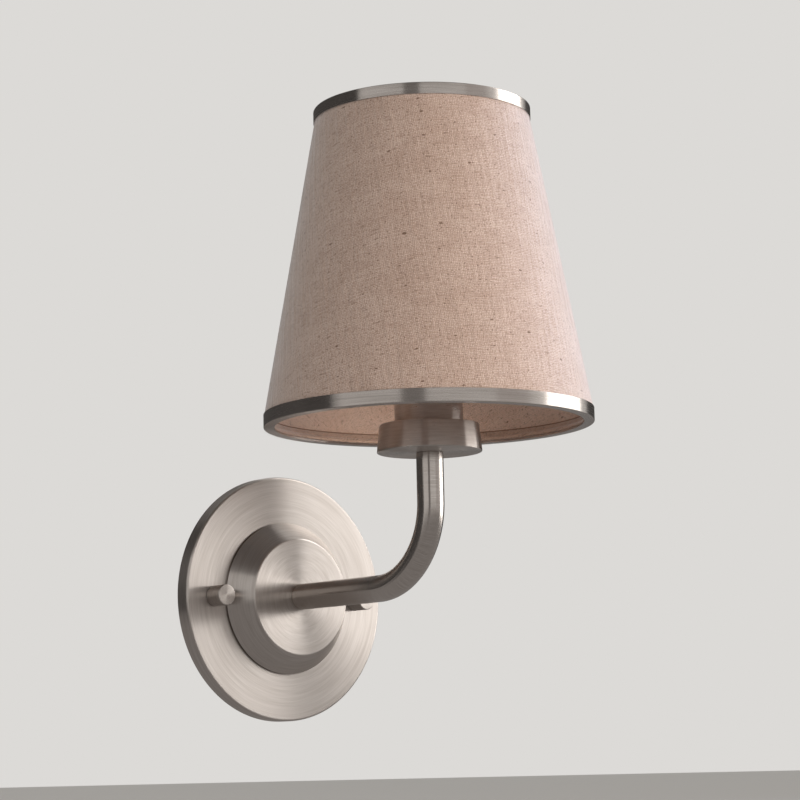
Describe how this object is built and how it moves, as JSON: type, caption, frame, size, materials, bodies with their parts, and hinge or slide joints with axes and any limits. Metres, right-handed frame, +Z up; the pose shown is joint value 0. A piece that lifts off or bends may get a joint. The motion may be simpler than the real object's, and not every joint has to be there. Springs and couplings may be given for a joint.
{
  "type": "wall light",
  "caption": "Single-arm wall light: a round backplate with a conical boss, a bent tube arm, a cup and a tapered linen shade between two metal rings.",
  "frame": {"origin": "centre of the backplate's back face, on the wall plane", "axes": "+Y into the wall, so the light stands out along -Y; +Z up towards the shade; +X to the right of someone facing the wall"},
  "size_m": [0.154, 0.1945, 0.2842],
  "materials": {
    "zinc_screw": "zinc-plated steel",
    "nickel": "brushed satin nickel plate",
    "frame_wire": "white-coated steel wire",
    "brass": "stamped brass",
    "ground_green": "green dyed steel",
    "plate_steel": "zinc-plated pressed steel",
    "nylon": "natural nylon",
    "fibre": "vulcanised fibre",
    "linen": "plain-woven natural linen",
    "lining": "linen-faced stiff lining",
    "thermoplastic": "black phenolic moulding"
  },
  "bodies": {
    "root": {"arm_nipple": "zinc_screw", "arm_tube": "nickel", "backplate": "nickel", "boss": "nickel", "boss_screws": "zinc_screw", "centre_contact": "brass", "cup": "nickel", "cup_nut": "zinc_screw", "ground_screw": "ground_green", "mounting_plate": "plate_steel", "nipple_nut": "zinc_screw", "nipple_washer": "zinc_screw", "plate_studs": "zinc_screw", "screw_shell": "brass", "socket_body": "thermoplastic", "socket_bracket": "plate_steel", "socket_cover": "nickel", "socket_screw": "zinc_screw", "stud_lock_nuts": "zinc_screw", "top_nipple": "zinc_screw"},
    "washer_left": {"nut_washer_left": "nylon"},
    "nut_left": {"thumb_nut_left": "nickel"},
    "washer_right": {"nut_washer_right": "nylon"},
    "nut_right": {"thumb_nut_right": "nickel"},
    "shade": {"fitter_ring": "frame_wire", "spoke_wires": "frame_wire", "top_wire_ring": "frame_wire", "bottom_wire_ring": "frame_wire", "shade_fabric": "linen", "shade_lining": "lining", "top_trim_ring": "nickel", "bottom_trim_ring": "nickel"},
    "clamp_washer": {"ring_washer": "fibre"},
    "clamp_ring": {"shade_ring": "thermoplastic"}
  },
  "joints": [
    {"name": "left_nut_turn", "type": "hinge", "parent": "root", "child": "washer_left", "pos_m": [-0.0438, -0.008, 0], "axis": [0, -1, 0], "range_deg": [0, 3600]},
    {"name": "left_nut_travel", "type": "slide", "parent": "washer_left", "child": "nut_left", "axis": [0, -1, 0], "range_m": [0, 0.00794]},
    {"name": "right_nut_turn", "type": "hinge", "parent": "root", "child": "washer_right", "pos_m": [0.0438, -0.008, 0], "axis": [0, -1, 0], "range_deg": [0, 3600]},
    {"name": "right_nut_travel", "type": "slide", "parent": "washer_right", "child": "nut_right", "axis": [0, -1, 0], "range_m": [0, 0.00794]},
    {"name": "shade_turn", "type": "hinge", "parent": "root", "child": "shade", "pos_m": [0, -0.1175, 0.15], "axis": [0, 0, 1], "continuous": true},
    {"name": "clamp_turn", "type": "hinge", "parent": "root", "child": "clamp_washer", "pos_m": [0, -0.1175, 0.1], "axis": [0, 0, 1], "range_deg": [0, 2880]},
    {"name": "clamp_travel", "type": "slide", "parent": "clamp_washer", "child": "clamp_ring", "axis": [0, 0, 1], "range_m": [0, 0.012]}
  ],
  "couplings": [
    {"joint": "left_nut_travel", "follows": "left_nut_turn", "m_per_rad": 0.00012637},
    {"joint": "right_nut_travel", "follows": "right_nut_turn", "m_per_rad": 0.00012637},
    {"joint": "clamp_travel", "follows": "clamp_turn", "m_per_rad": 0.00023873}
  ]
}
